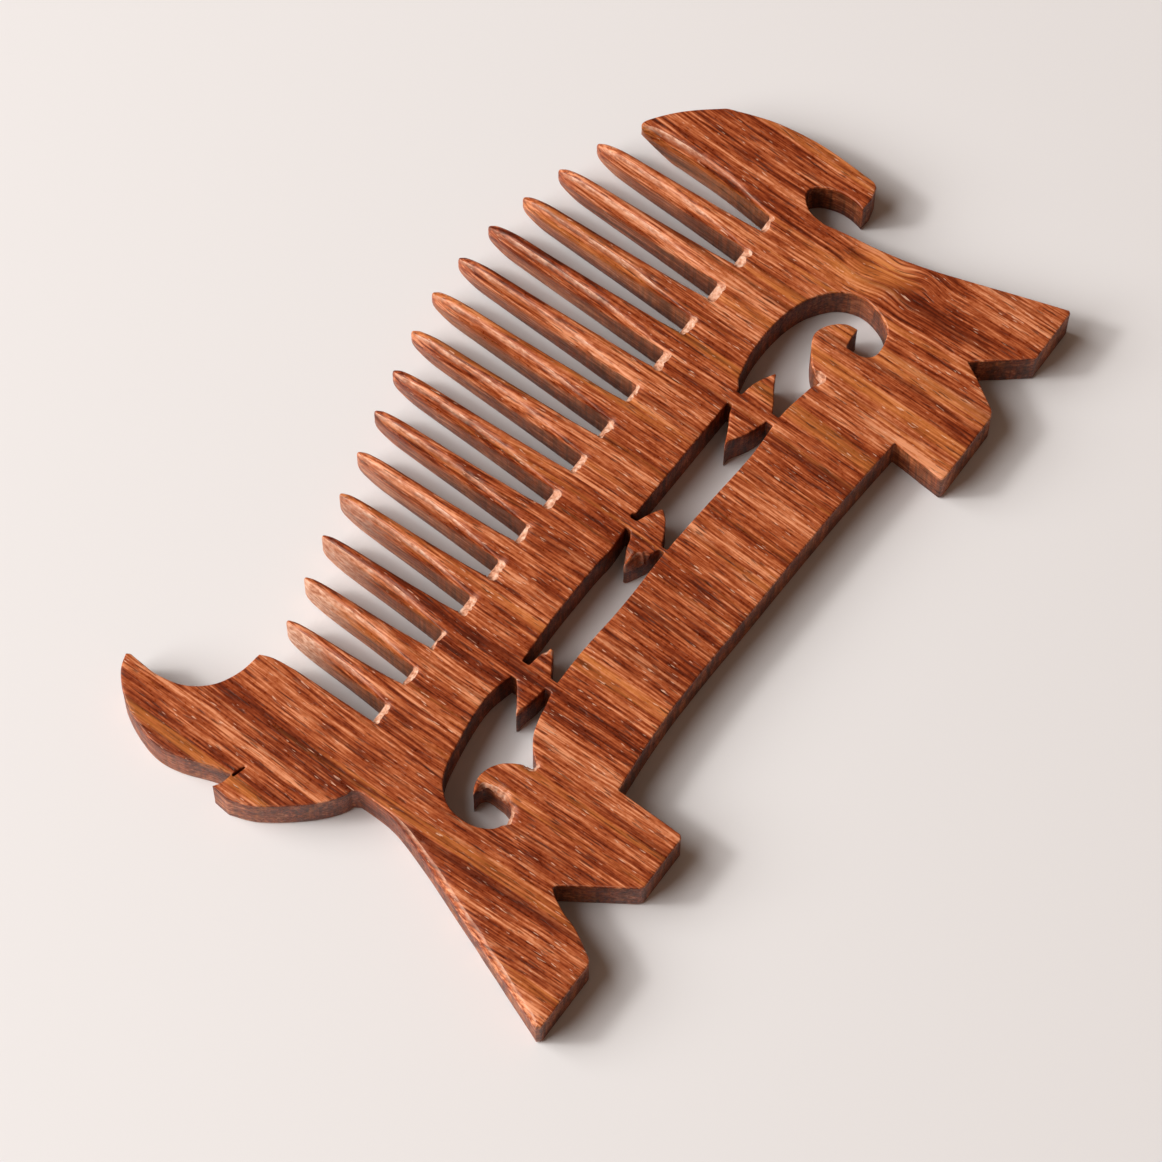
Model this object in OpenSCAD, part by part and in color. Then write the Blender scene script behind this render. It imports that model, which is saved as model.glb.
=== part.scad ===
// A one-piece wooden hair comb, sawn from a single flat board.
// Plan view: X runs along the row of teeth, Y points the way the teeth point, Z is up through the
// board. The outline is laid out from a datum: X = 0 at the middle post, Y = 0 on the tooth roots.
// The nodes are named stretches of the same board. They meet face to face and never overlap.

/* [Board] */
// Thickness of the board
board_t = 7.5; // [5:0.5:10]
// Depth of the bevel filed on each slot's end, on the upper face
bevel_depth = 1; // [0:0.1:1.5]
// How far that bevel runs back from the slot's end
bevel_run = 1.3; // [0.5:0.1:2]

/* [Teeth] */
// Distance between the centres of neighbouring teeth
tooth_pitch = 6.98; // [6.9:0.02:7]
// Width of a tooth at its root
tooth_root_w = 3.8; // [3:0.1:4.4]
// Width of a tooth at the start of its rounded tip
tooth_tip_w = 2.1; // [1.6:0.1:2.6]
// Length of the rounded tip
tip_round = 2.4; // [1.5:0.1:4]
// How much thinner each face of a tooth is just before the tip
tooth_thin = 0.8; // [0:0.1:1.6]
// How much thinner each face of a tooth is at the very tip
tip_thin = 2.4; // [1.6:0.1:2.9]

/* [Leaf posts] */
// How far the leaf posts are moved along the row of teeth
leaf_shift = 0; // [-1:0.1:1]

/* [Saw slit] */
// Width of the thin saw cut at the back of the left head
slit_w = 0.35; // [0.2:0.05:0.6]
// Length of that cut
slit_len = 1.8; // [0.5:0.1:4]

/* [Smoothness] */
// Straight steps between two neighbouring points of a curved edge
curve_steps = 4; // [2:1:8]

/* [Hidden] */
wood = "#9c4f28";
dark_wood = "#8a4422";
light_wood = "#b06332";

// Tooth lengths from the datum line, from left to right
tooth_lengths = [20.5, 22.5, 24.5, 26.5, 28.5, 30.5, 32.3, 34, 35.3, 35.5, 35, 33.6, 32, 29.8];
tooth_count = len(tooth_lengths);
first_tooth_x = -41.5;
slot_end = 0.7;
tooth_waist = 0.1;

// Corners and edges of the outline where one named stretch of the board meets the next
head_edge = -46.8;
horn_edge = -57;
horn_foot = 12.1;
horn_notch = [-65.5, horn_foot];
neck_y = -4.6;
rail_low = -14;
back_edge = 54;
hook_top = -1.6;
hook_edge = 61;
left_bar_end = -34.3;
right_bar_end = 34.4;
handle_corner = [right_bar_end, -35.9];
left_apex = [-52, -35.9];
right_apex = [51.7, -37.3];
left_lobe_low = [-47.2, -24.4];
right_lobe_low = [46.2, -25.5];
left_notch = [-38.9, -22.8];
right_notch = [36.2, -21.2];

// Points inside the windows, and outside the board, that the borders pass through
far = 90;
beside_horn = [-80, 24];
left_window_top = [-43, -14.5];
left_window_side = [-49.5, -17];
left_window_low = [-49.5, -22];
left_curl_top = [-48.5, -15.5];
left_slot_y = -18;
middle_slot_y = -15;
below_handle = [30, -38];
right_slot_y = -19;
right_curl_top = [47, -15];
right_curl_low = [44, right_notch[1]];
right_window_low = [48, -22];
right_window_side = [48, -15];
right_window_top = [46, rail_low];
hook_foot = -14;

// The board's box in plan, and the shift that puts its centre on the origin
left_end = -70.5;
right_end = 68.4;
foot_line = -46.9;
horn_top = 36.1;
to_centre = [-(left_end + right_end) / 2, -(foot_line + horn_top) / 2, 0];

// The saw slit's corner and direction
slit_corner = [-65.6, 12.05];
slit_turn = -16;
slit_overlap = 0.5;

// One point of a Catmull-Rom curve, between p1 and p2
function blend(p0, p1, p2, p3, t) =
    0.5 * (2 * p1 + (p2 - p0) * t + (2 * p0 - 5 * p1 + 4 * p2 - p3) * t * t
        + (3 * p1 - p0 - 3 * p2 + p3) * t * t * t);

// A smooth curve through a list of points, both ends included
function through(p) =
    let (last = len(p) - 1)
    concat(
        [for (i = [0 : last - 1], s = [0 : curve_steps - 1])
            blend(p[max(i - 1, 0)], p[i], p[i + 1], p[min(i + 2, last)], s / curve_steps)],
        [p[last]]);

// The back of the left head: horn, notch and cheek
left_head_edge = concat(
    [[head_edge, slot_end]],
    through([[-47, 14], [-47.4, 18], [-48.2, 20.2]]),
    through([
        [-48.2, 20.2], [-52, 20.8], [-55.8, 22.7], [-58.4, 25.9], [-59.5, 30], [-59.4, 33.2],
        [-59.2, 35.5]]),
    through([
        [-59.6, horn_top], [-62.2, 35], [-65.2, 32], [-67.4, 27.6], [-68.3, 23.6], [-67.7, 19.6],
        [-66.2, 15.4], horn_notch]),
    through([[-67.2, 12.5], [-68.6, 13.3]]),
    through([[-68.9, 10.5], [-67.6, 6.8], [-64.8, 2.8], [-61.5, -0.9], [-58.6, -3.1], [-57.3, -3.5]]));

// The left leg, its foot, and the lower edge as far as the handle
left_leg_edge = concat(
    through([[-56.6, neck_y], [-56.8, -9.7], [-58.1, -14.4], [-60.2, -20.2]]),
    [[left_end, -46.3], [-69.9, foot_line], [-58.3, foot_line]],
    through([[-57.5, -46.3], [-55.1, -42.2], [-54.2, -39.6], [-53, -37.2], left_apex]),
    [[-51.4, -36.1], [-44.8, -46], [-44.1, -46.5], [-35, -46.5], [-34.5, -46]]);

// The handle's hollow lower edge
handle_edge = through([[left_bar_end, -34.8], [-20, -33.8], [0, -34.3], [20, -35], handle_corner]);

// The right foot and the right leg
right_leg_edge = concat(
    [[33.6, -44.9], [34, -45.2], [46.3, -45.2], [47.5, -44.4], [50.2, -40]],
    [right_apex, [58.1, -45.2], [67.4, -45.2], [67.7, -44.8]],
    through([[61.6, -26.2], [60.3, -21.6], [59.2, -16.5], [58.4, -10.8], [57.7, -6.6]]));

// The hook: round the slot, along the hook's end and up the back to the last point
right_head_edge = concat(
    through([
        [57.7, -6.6], [58.1, -4], [59.4, -2.2], [61.1, hook_top], [62.6, -3.1], [63.5, -5.6], [63.6, -8],
        [63.2, -10.1]]),
    [[65.3, -10.2], [67.5, -9.6]],
    through([[68, -8.6], [right_end, -2], [68.3, 3], [67.5, 8.8], [66.3, 12.9], [64.9, 16.6]]),
    through([[64.9, 16.6], [61.6, 20.6], [58.5, 23.5], [55.6, 25.6]]),
    through([[54.6, 25.5], [55, 20], [55.1, 14], [54.8, 8], [back_edge, slot_end]]));

// The long opening between tooth rail and handle, clockwise from the left curl
opening_edge = concat(
    through([
        [-45.1, -22.4], [-45.7, -23.8], left_lobe_low, [-49.6, -23.7], [-51.2, -20.6], [-51, -16.8],
        [-49.2, -14.1], [-46.6, -12.6], [-42.5, -11.7], [-38, -11], [-33.5, -10.8], [-29.2, -11.7]]),
    through([[-26, -11.6], [-18, -11.3], [-8, -11.5], [-3.6, -11.8], [1.3, -11.3]]),
    through([[1.3, -11.3], [1.9, -10.9], [2.5, -11.4]]),
    through([[2.5, -11.4], [14, -11.7], [26, -12], [28, -12]]),
    through([
        [29.3, -11.1], [33.5, -10.2], [38, -10.1], [42, -10.6], [46, -12], [49.5, -14.8], [51, -18.4],
        [50.4, -22], [48.7, -24.6], right_lobe_low, [44.2, -25.3], [43.1, -23.8], [42.9, right_notch[1]]]),
    through([[44.5, -20.9], [46.3, -20.9]]),
    through([
        [46.3, -20.9], [46, -18.9], [44.3, -16.9], [42, -16], [39.6, -17], [37.2, -18.9], right_notch]),
    through([
        [34.6, -20.7], [31, -20], [27.5, -19.6], [20, -19.8], [10, -19.1], [0, -18.5], [-10, -18.4],
        [-20, -17.8], [-26, -17.8]]),
    through([
        [-28, -18], [-30, -18.5], [-32.1, -18.9], [-34.6, -19.7], [-36.8, -21.2], [-38.1, left_notch[1]]]),
    through([
        left_notch, [-39.4, -21], [-40.8, -18.8], [-42.6, -17.5], [-44.4, -17.1], [-46, -17.4],
        [-47.4, -18.2]]),
    through([[-47.4, -18.2], [-45.8, -18.3], [-45, -19.2], [-45, -21]]));

// The three leaf posts. Their necks run on into the rail and the handle, and are trimmed flush.
post_top = -9;
post_low = -21;
left_post = concat(
    [[-26.5, post_top], [-29.1, post_top]],
    through([[-29.1, -12.6], [-30.7, -13.8], [-32.2, -14.9], [-33.7, -15.8]]),
    through([[-33.7, -16], [-32, -16.2], [-29.8, -16.7], [-27.9, -16.9]]),
    [[-27.9, post_low], [-26.1, post_low]],
    through([[-26.1, -16.7], [-24.9, -16], [-23.5, -15.1], [-22.2, -14.3]]),
    through([[-22.2, -13.8], [-23.4, -13.3], [-24.9, -13], [-26.3, -12.8]]));
middle_post = concat(
    [[1.4, post_top], [-0.3, post_top]],
    through([[-0.3, -12.4], [-1.4, -13.1], [-3.4, -13.7], [-5.3, -14.7]]),
    through([[-5.2, -15.1], [-3.8, -15.9], [-2.1, -16.7], [-0.2, -17.6]]),
    [[-0.2, post_low], [0.4, post_low]],
    through([[0.4, -17.6], [1.5, -17.1], [3.6, -16], [4.7, -15.1], [5.3, -14.3]]),
    through([[5.2, -14], [3.6, -13.1], [1.5, -12.2]]));
right_post = concat(
    [[27.4, post_top], [25.1, post_top]],
    through([[25.1, -12.8], [23.7, -13.3], [21.6, -14.5], [18.9, -15.7]]),
    through([[18.9, -15.9], [20.2, -15.9], [22.2, -17.1], [24.1, -17.9], [26, -18.4]]),
    [[26, post_low], [27.6, post_low]],
    through([[27.6, -18.4], [29.4, -17.4], [30.9, -16.3], [33.1, -15.2]]),
    through([[33.1, -15], [30.9, -13.8], [29.3, -13.2], [27.4, -12.9]]));
posts = [left_post, middle_post, right_post];

// The whole board in plan, without its teeth and its posts
module board_2d() {
    difference() {
        polygon(concat(left_head_edge, left_leg_edge, handle_edge, right_leg_edge, right_head_edge));
        polygon(opening_edge);
        translate([slit_corner[0], slit_corner[1] - slit_w])
            rotate(slit_turn)
                square([slit_len + slit_overlap, slit_w]);
    }
}

// The stretch of the board inside a border
module stretch(border, tone) {
    color(tone)
        translate(to_centre)
            linear_extrude(board_t)
                intersection() {
                    board_2d();
                    polygon(border);
                }
}

module left_horn()
    stretch([horn_notch, [horn_edge, horn_foot], [horn_edge, far], [-far, far], beside_horn], wood);

module left_cheek()
    stretch([
        [-far, neck_y], [horn_edge, neck_y], [horn_edge, horn_foot], horn_notch, beside_horn], dark_wood);

module left_head()
    stretch([[horn_edge, neck_y], [head_edge, neck_y], [head_edge, far], [horn_edge, far]], light_wood);

module left_leg()
    stretch([
        [-far, neck_y], [head_edge, neck_y], [head_edge, rail_low], [left_window_top[0], rail_low],
        left_window_top, left_window_side, left_window_low, left_lobe_low, left_apex,
        [left_apex[0], -far], [-far, -far]], wood);

module left_foot()
    stretch([
        [left_apex[0], -far], left_apex, left_lobe_low, [left_lobe_low[0], left_notch[1]], left_notch,
        [left_notch[0], left_slot_y], [left_bar_end, left_slot_y], [left_bar_end, -far]], light_wood);

module left_scroll()
    stretch([
        [left_curl_top[0], left_notch[1]], left_notch, [left_notch[0], left_curl_top[1]],
        left_curl_top], dark_wood);

module handle_bar()
    stretch([
        [left_bar_end, below_handle[1]], below_handle, handle_corner, [right_bar_end, middle_slot_y],
        [left_bar_end, middle_slot_y]], wood);

module right_scroll()
    stretch([
        right_notch, [right_curl_top[0], right_notch[1]], right_curl_top,
        [right_notch[0], right_curl_top[1]]], dark_wood);

module right_foot()
    stretch([
        [below_handle[0], -far], below_handle, handle_corner, [right_bar_end, right_slot_y],
        [right_notch[0], right_slot_y], right_notch, right_curl_low, right_lobe_low, right_apex,
        [right_apex[0], -far]], light_wood);

module right_leg()
    stretch([
        [right_apex[0], -far], right_apex, right_lobe_low, right_window_low, right_window_side,
        right_window_top, [back_edge, rail_low], [back_edge, hook_top], [hook_edge, hook_top],
        [hook_edge, hook_foot], [far, hook_foot], [far, -far]], wood);

module right_hook()
    stretch([[hook_edge, hook_foot], [far, hook_foot], [far, hook_top], [hook_edge, hook_top]], dark_wood);

module right_head()
    stretch([[back_edge, hook_top], [far, hook_top], [far, far], [back_edge, far]], light_wood);

function tooth_x(k) = first_tooth_x + k * tooth_pitch;

// The wedge that a bevel takes off one slot's end, from X = a to X = b. It stands a little proud.
module slot_bevel(a, b) {
    proud = 0.1;
    low = -bevel_depth * (1 + proud / bevel_run);
    translate([a, slot_end, board_t])
        rotate([90, 0, 90])
            linear_extrude(b - a)
                polygon([[-bevel_run, 0], [proud, low], [proud, proud], [-bevel_run, proud]]);
}

// The straight rail that carries the teeth, with a bevel at the end of every slot
module tooth_rail() {
    rail = [[head_edge, rail_low], [back_edge, rail_low], [back_edge, slot_end], [head_edge, slot_end]];
    half = tooth_root_w / 2;
    difference() {
        stretch(rail, wood);
        translate(to_centre)
            for (k = [0 : tooth_count])
                slot_bevel(
                    k == 0 ? head_edge : tooth_x(k - 1) + half,
                    k == tooth_count ? back_edge : tooth_x(k) - half);
    }
}

// Half a tooth in plan, from its root to its tip, and half its side profile
function half_plan(long, root, tip) =
    let (shoulder = long - tip_round, middle = (root + tip) / 2 - tooth_waist)
    concat(
        [[root, slot_end]],
        through([
            [middle, shoulder / 2], [tip, shoulder], [0.7 * tip, long - tip_round / 4],
            [0.2 * tip, long]]));
function half_side(long) = [
    [slot_end, board_t / 2],
    [long - tip_round, board_t / 2 - tooth_thin],
    [long, board_t / 2 - tip_thin]];

// A list of points run backwards, with one coordinate's sign turned round
function mirrored(p, flip) = [for (i = [len(p) - 1 : -1 : 0]) [p[i][0] * flip[0], p[i][1] * flip[1]]];

// One tooth: a tapered plan with a round tip, thinned a little towards the tip on both faces
module tooth(k) {
    long = tooth_lengths[k];
    root = tooth_root_w / 2;
    plan = half_plan(long, root, tooth_tip_w / 2);
    side = half_side(long);
    color(k % 2 == 0 ? light_wood : wood)
        translate(to_centre + [tooth_x(k), 0, 0])
            intersection() {
                linear_extrude(board_t)
                    polygon(concat(plan, mirrored(plan, [-1, 1])));
                translate([-root, 0, board_t / 2])
                    rotate([90, 0, 90])
                        linear_extrude(2 * root)
                            polygon(concat(side, mirrored(side, [1, -1])));
            }
}

// One leaf post: a pointed leaf on thin necks, trimmed flush to the long opening's edges
module leaf_post(i) {
    color(dark_wood)
        translate(to_centre)
            linear_extrude(board_t)
                intersection() {
                    polygon(opening_edge);
                    translate([leaf_shift, 0])
                        polygon(posts[i]);
                }
}

function tooth_name(k) = str("tooth_", k < 9 ? "0" : "", k + 1);
post_names = ["leaf_post_left", "leaf_post_middle", "leaf_post_right"];

tooth_rail();
left_horn();
left_cheek();
left_head();
left_leg();
left_foot();
left_scroll();
handle_bar();
right_scroll();
right_foot();
right_leg();
right_hook();
right_head();
for (i = [0 : len(post_names) - 1])
    leaf_post(i);
for (k = [0 : tooth_count - 1])
    tooth(k);
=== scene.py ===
"""A one-piece wooden hair comb, lying flat on a pale floor.

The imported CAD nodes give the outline. Every visible piece stands for one node: a stretch of the
same board, with worn edges, filed slot ends and tapered teeth. Lengths are in millimetres until a
mesh is written.
"""

import math

import bpy
import numpy as np
from mathutils import Euler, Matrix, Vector
from mathutils.geometry import delaunay_2d_cdt


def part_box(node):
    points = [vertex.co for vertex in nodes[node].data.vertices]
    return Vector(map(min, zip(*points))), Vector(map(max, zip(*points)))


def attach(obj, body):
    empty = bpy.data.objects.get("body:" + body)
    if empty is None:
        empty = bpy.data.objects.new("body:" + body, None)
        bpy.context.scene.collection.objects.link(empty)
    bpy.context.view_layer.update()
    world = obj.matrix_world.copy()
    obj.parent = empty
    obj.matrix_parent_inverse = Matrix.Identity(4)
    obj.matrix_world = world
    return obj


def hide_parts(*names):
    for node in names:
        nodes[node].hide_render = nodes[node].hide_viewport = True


MM = 0.001
CELLS = 64            # cells each way in a table of random values
NEAR = 0.004          # two CAD points closer than this are one point
NEAR_CELL = 0.05      # size of the cells that are searched for near points
CUT = 0.017           # the outline is taken this far above the board's middle, clear of mesh points
STRAIGHT = 0.12       # a turn smaller than this many degrees is a point on a straight line
BEND = 3.0            # a turn sharper than this many degrees, between two sides, keeps them straight
CORNER = 28.0         # a turn sharper than this many degrees is a corner
SIDE = 2.0            # an edge longer than this is a straight side of the outline
UNEVEN = 2.5          # a side this many times longer than its neighbour gives their common direction
STEP = 0.1            # spacing of the fine outline before it is thinned out
STEP_OFF = 0.006      # how far the thinned outline may lie from the fine one
STEP_LONGEST = 0.78   # longest step of the thinned outline
STEP_DETAIL = 0.25    # the same where detail is needed
ROUND_ROWS = 4        # strips across a rounded edge
WALL_ROWS = 3         # rows of points down the wall between the two rounded edges
ROWS = 2 * (ROUND_ROWS + 1) + WALL_ROWS
LIMIT = 0.47          # a rounded edge may take up this share of the height where a tooth is thin
UNDER_INSET = 0.34    # widest rounding of the teeth's lower edges
UNDER_DROP = 0.45     # tallest rounding of the teeth's lower edges, apart from their tips
GRID = 1.15           # spacing of the points inside the two faces
GRID_CLEAR = 0.42     # how far those points stay from the rings and the border lines
LINE_STEP = 1.0       # spacing of the points along a border line
LINE_CLEAR = 0.45     # how far a border's own points stay from the rings
WIDEST = 50.0         # more room than there is anywhere in the board

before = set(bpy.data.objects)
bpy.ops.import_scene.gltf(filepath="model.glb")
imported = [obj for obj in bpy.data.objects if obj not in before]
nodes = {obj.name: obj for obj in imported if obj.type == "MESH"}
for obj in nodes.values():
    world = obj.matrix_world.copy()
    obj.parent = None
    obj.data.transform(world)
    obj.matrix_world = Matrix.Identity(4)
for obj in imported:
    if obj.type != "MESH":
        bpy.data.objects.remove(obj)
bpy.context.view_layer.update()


def span(name):
    """A node's lowest and highest corner, in millimetres."""
    low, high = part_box(name)
    return np.array(low) / MM, np.array(high) / MM


TEETH = sorted(n for n in nodes if n.startswith("tooth_") and n != "tooth_rail")
RAIL_LOW, RAIL_HIGH = span("tooth_rail")
THICK = RAIL_HIGH[2]
SLOT_Y = RAIL_HIGH[1]
TOOTH = {n: span(n) for n in TEETH}


# -------- smooth random values
LATTICES = [np.random.default_rng(seed).random((CELLS, CELLS)) for seed in range(11, 19)]


def noise2(x, y, which=0):
    """Smooth noise from -1 to 1 over the plane, one lump per unit."""
    table = LATTICES[which]
    x, y = np.asarray(x, float), np.asarray(y, float)
    ix, iy = np.floor(x).astype(int), np.floor(y).astype(int)
    fx, fy = x - ix, y - iy
    fx, fy = fx * fx * (3 - 2 * fx), fy * fy * (3 - 2 * fy)
    left, right, low, high = ix % CELLS, (ix + 1) % CELLS, iy % CELLS, (iy + 1) % CELLS
    a = table[left, low] * (1 - fx) + table[right, low] * fx
    b = table[left, high] * (1 - fx) + table[right, high] * fx
    return 2 * (a * (1 - fy) + b * fy) - 1


def ramp(x, low, high):
    """0 below low, 1 above high, smooth between."""
    t = np.clip((np.asarray(x, float) - low) / (high - low), 0, 1)
    return t * t * (3 - 2 * t)


# -------- the outline, from the CAD nodes
def slice_node(ob, z):
    """Where a node's surface crosses height z: directed segments with the wood on their left."""
    me = ob.data
    me.calc_loop_triangles()
    co = np.zeros(len(me.vertices) * 3, np.float32)
    me.vertices.foreach_get("co", co)
    tri = np.zeros(len(me.loop_triangles) * 3, np.int32)
    me.loop_triangles.foreach_get("vertices", tri)
    corners = co.reshape(-1, 3).astype(float)[tri.reshape(-1, 3)] / MM
    above = corners[:, :, 2] > z
    out = []
    for t, up in zip(corners, above):
        if up.all() or not up.any():
            continue
        lone = int(np.argmax(up)) if up.sum() == 1 else int(np.argmin(up))
        ends = []
        for k in (1, 2):
            a, b = t[lone], t[(lone + k) % 3]
            ends.append((a + (b - a) * (z - a[2]) / (b[2] - a[2]))[:2])
        normal = np.cross(t[1] - t[0], t[2] - t[0])
        run = ends[1] - ends[0]
        if run @ run < 1e-8:
            continue
        if run @ np.array([-normal[1], normal[0]]) < 0:
            ends.reverse()
        out.append(ends)
    return np.array(out)


def merge_points(points):
    """Numbers the distinct points, and gives each given point its number."""
    kept, number = [], np.zeros(len(points), int)
    cells = {}
    for i, p in enumerate(points):
        key = tuple(np.round(p / NEAR_CELL).astype(int))
        found = -1
        for dx in (-1, 0, 1):
            for dy in (-1, 0, 1):
                for j in cells.get((key[0] + dx, key[1] + dy), ()):
                    if np.hypot(*(kept[j] - p)) < NEAR:
                        found = j
        if found < 0:
            found = len(kept)
            kept.append(p)
            cells.setdefault(key, []).append(found)
        number[i] = found
    return np.array(kept), number


def split_edge(points, i, j):
    """The edge from point i to point j, split at every point that lies on it."""
    run = points[j] - points[i]
    length = np.hypot(*run)
    along = (points - points[i]) @ run / length
    off = np.abs((points - points[i]) @ np.array([-run[1], run[0]]) / length)
    between = np.nonzero((off < NEAR) & (along > NEAR) & (along < length - NEAR))[0]
    chain = [int(i)] + sorted((int(k) for k in between), key=lambda k: along[k]) + [int(j)]
    return zip(chain, chain[1:])


def read_board():
    """The board's outline, the borders between nodes, and every node's cut, as edges between points."""
    segments, owner = [], []
    for name in sorted(nodes):
        cut = slice_node(nodes[name], THICK / 2 + CUT)
        segments.append(cut)
        owner += [name] * len(cut)
    segments = np.concatenate(segments)
    points, number = merge_points(segments.reshape(-1, 2))
    edges = {}
    for (i, j), name in zip(number.reshape(-1, 2), owner):
        if i != j:
            edges.update({e: name for e in split_edge(points, i, j)})
    outline = {e: n for e, n in edges.items() if e[::-1] not in edges}
    borders = {e: (n, edges[e[::-1]]) for e, n in edges.items() if e[::-1] in edges}
    return points, outline, borders, segments, np.array(owner)


def follow(outline):
    """Closed loops of points, with the node that owns each edge."""
    after = {}
    for (u, v), name in outline.items():
        after.setdefault(u, []).append((v, name))
    loops = []
    while after:
        start = min(after)
        at, loop, names = start, [], []
        while True:
            v, name = after[at].pop()
            if not after[at]:
                del after[at]
            loop.append(at)
            names.append(name)
            at = v
            if at == start or at not in after:
                break
        loops.append((loop, names))
    return loops


def turns(p):
    """Turning angle at each point of a closed polygon, in degrees, and its edges' lengths."""
    ahead = np.roll(p, -1, 0) - p
    behind = np.roll(ahead, 1, 0)
    cross = behind[:, 0] * ahead[:, 1] - behind[:, 1] * ahead[:, 0]
    dot = (behind * ahead).sum(1)
    return np.degrees(np.arctan2(cross, dot)), np.hypot(ahead[:, 0], ahead[:, 1])


def tangents(p, turn, length):
    """Unit direction on leaving and on reaching each point: one smooth direction, or two at a corner."""
    ahead = (np.roll(p, -1, 0) - p) / length[:, None]
    behind = np.roll(ahead, 1, 0)
    before = np.roll(length, 1)
    leave, reach = ahead.copy(), behind.copy()
    for i in range(len(p)):
        both_long = min(before[i], length[i]) > SIDE and abs(turn[i]) > BEND
        if abs(turn[i]) > CORNER or both_long:
            continue
        if before[i] > max(UNEVEN * length[i], SIDE):
            t = behind[i]
        elif length[i] > max(UNEVEN * before[i], SIDE):
            t = ahead[i]
        else:
            t = behind[i] * length[i] + ahead[i] * before[i]
        leave[i] = reach[i] = t / np.hypot(*t)
    return leave, reach


def curve(p, q, leave, reach, length, steps):
    """Points on the smooth curve from p to q that leaves and arrives in the given directions."""
    t = (np.arange(steps) / steps)[:, None]
    return ((2 * t**3 - 3 * t**2 + 1) * p + (t**3 - 2 * t**2 + t) * leave * length
            + (3 * t**2 - 2 * t**3) * q + (t**3 - t**2) * reach * length)


def fine_loop(points, loop, names):
    """A closed outline as closely spaced points on smooth curves, with the owner of each step and
    the step that each CAD point comes to."""
    raw = points[loop]
    turn, _ = turns(raw)
    keep = np.nonzero(np.abs(turn) > STRAIGHT)[0]
    p = raw[keep]
    turn, length = turns(p)
    leave, reach = tangents(p, turn, length)
    out, owner, marks = [], [], {}
    for a in range(len(keep)):
        b = (a + 1) % len(keep)
        inner = [(keep[a] + s) % len(loop) for s in range((keep[b] - keep[a]) % len(loop) or len(loop))]
        steps = max(1, math.ceil(length[a] / STEP))
        begins = [int(round(np.hypot(*(raw[k] - p[a])) / length[a] * steps)) for k in inner]
        for k, begin in zip(inner, begins):
            marks[loop[k]] = len(out) + begin
        out += list(curve(p[a], p[b], leave[a], reach[b], length[a], steps))
        for s in range(steps):
            owner.append(names[inner[max(i for i, begin in enumerate(begins) if begin <= s)]])
    return np.array(out), np.array(owner), {k: i % len(out) for k, i in marks.items()}


def soften(p, spread):
    """Rounds the corners of a closed outline by averaging along it."""
    reach = int(3 * spread / STEP) + 1
    k = np.arange(-reach, reach + 1)
    weight = np.exp(-0.5 * (k * STEP / spread) ** 2)
    weight /= weight.sum()
    return sum(w * np.roll(p, -s, 0) for s, w in zip(k, weight))


def thin_out(p, forced, tight):
    """Picks points of a fine closed outline: forced ones, and enough to keep its shape."""
    n = len(p)
    start = forced[0] if forced else 0
    is_forced = np.zeros(n, bool)
    is_forced[forced] = True
    kept, at = [], start
    while at < start + n:
        kept.append(at % n)
        best = at + 1
        for j in range(at + 2, at + 9):
            between = [k % n for k in range(at + 1, j)]
            if is_forced[between].any() or j > start + n:
                break
            run = p[j % n] - p[at % n]
            length = max(np.hypot(*run), 1e-6)
            off = np.abs((p[between] - p[at % n]) @ np.array([-run[1], run[0]])) / length
            if off.max() > STEP_OFF or length > (STEP_DETAIL if tight[j % n] else STEP_LONGEST):
                break
            best = j
        at = best
    return kept


# -------- what happens along the edges
def place(node, u, v):
    """A point at shares u and v of a node's box in plan."""
    low, high = span(node)
    return low[:2] + (high[:2] - low[:2]) * np.array([u, v])


# Small tear-outs on the upper edge: place, reach, extra inset, extra depth, paleness
CHIPS = [
    (place("left_scroll", 0.28, 0.66), 2.0, 0.40, 1.0, 0.75),
    (place("left_scroll", 0.18, 0.20), 1.7, 0.40, 1.1, 0.75),
    (place("left_foot", 0.28, 0.84), 2.0, 0.40, 1.0, 0.75),
    (place("left_scroll", 0.98, 0.05), 1.4, 0.5, 0.5, 0.8),
    (place("right_scroll", 0.02, 0.02), 1.7, 0.6, 0.9, 0.8),
    (place("right_scroll", 0.20, 0.10), 1.3, 0.35, 0.5, 0.8),
    (place("leaf_post_left", 0.98, 0.68), 1.5, 0.45, 0.35, 0.8),
    (place("leaf_post_left", 0.04, 0.30), 1.2, 0.3, 0.3, 0.7),
    (place("leaf_post_middle", 0.00, 0.50), 3.0, 1.3, 3.4, 0.30),
    (place("leaf_post_middle", 0.17, 0.30), 2.2, 0.9, 2.6, 0.30),
    (place("leaf_post_right", 0.03, 0.40), 1.2, 0.8, 0.9, 0.6),
]


def tooth_taper(p, owner):
    """For points on teeth: 0 at the root to 1 at the tip. 0 elsewhere."""
    u = np.zeros(len(p))
    for name in TEETH:
        at = owner == name
        u[at] = np.clip((p[at, 1] - SLOT_Y) / (TOOTH[name][1][1] - SLOT_Y), 0, 1)
    return u


def lean(p, owner):
    """Draws the left-hand side of each tip inwards, so that the tip ends on its right-hand side."""
    out = p.copy()
    for name in TEETH:
        low, high = TOOTH[name]
        at = owner == name
        near = np.clip((p[at, 1] - high[1] + 5.0) / 5.0, 0, 1) ** 1.6
        left = ramp((low[0] + high[0]) / 2 + 0.9 - p[at, 0], 0, 1.8)
        out[at, 0] += 0.30 * near * left
    return out


def room(p, inward):
    """The radius of the largest circle inside the wood that touches the outline at each point."""
    best = np.full(len(p), WIDEST)
    for s in range(0, len(p), 400):
        d = p[None] - p[s:s + 400, None]
        ahead = (d * inward[s:s + 400, None]).sum(2)
        square = (d**2).sum(2)
        radius = square / (2 * np.maximum(ahead, 1e-3))
        radius[square < 1e-6] = WIDEST
        best[s:s + 400] = radius.min(1)
    return best


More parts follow.
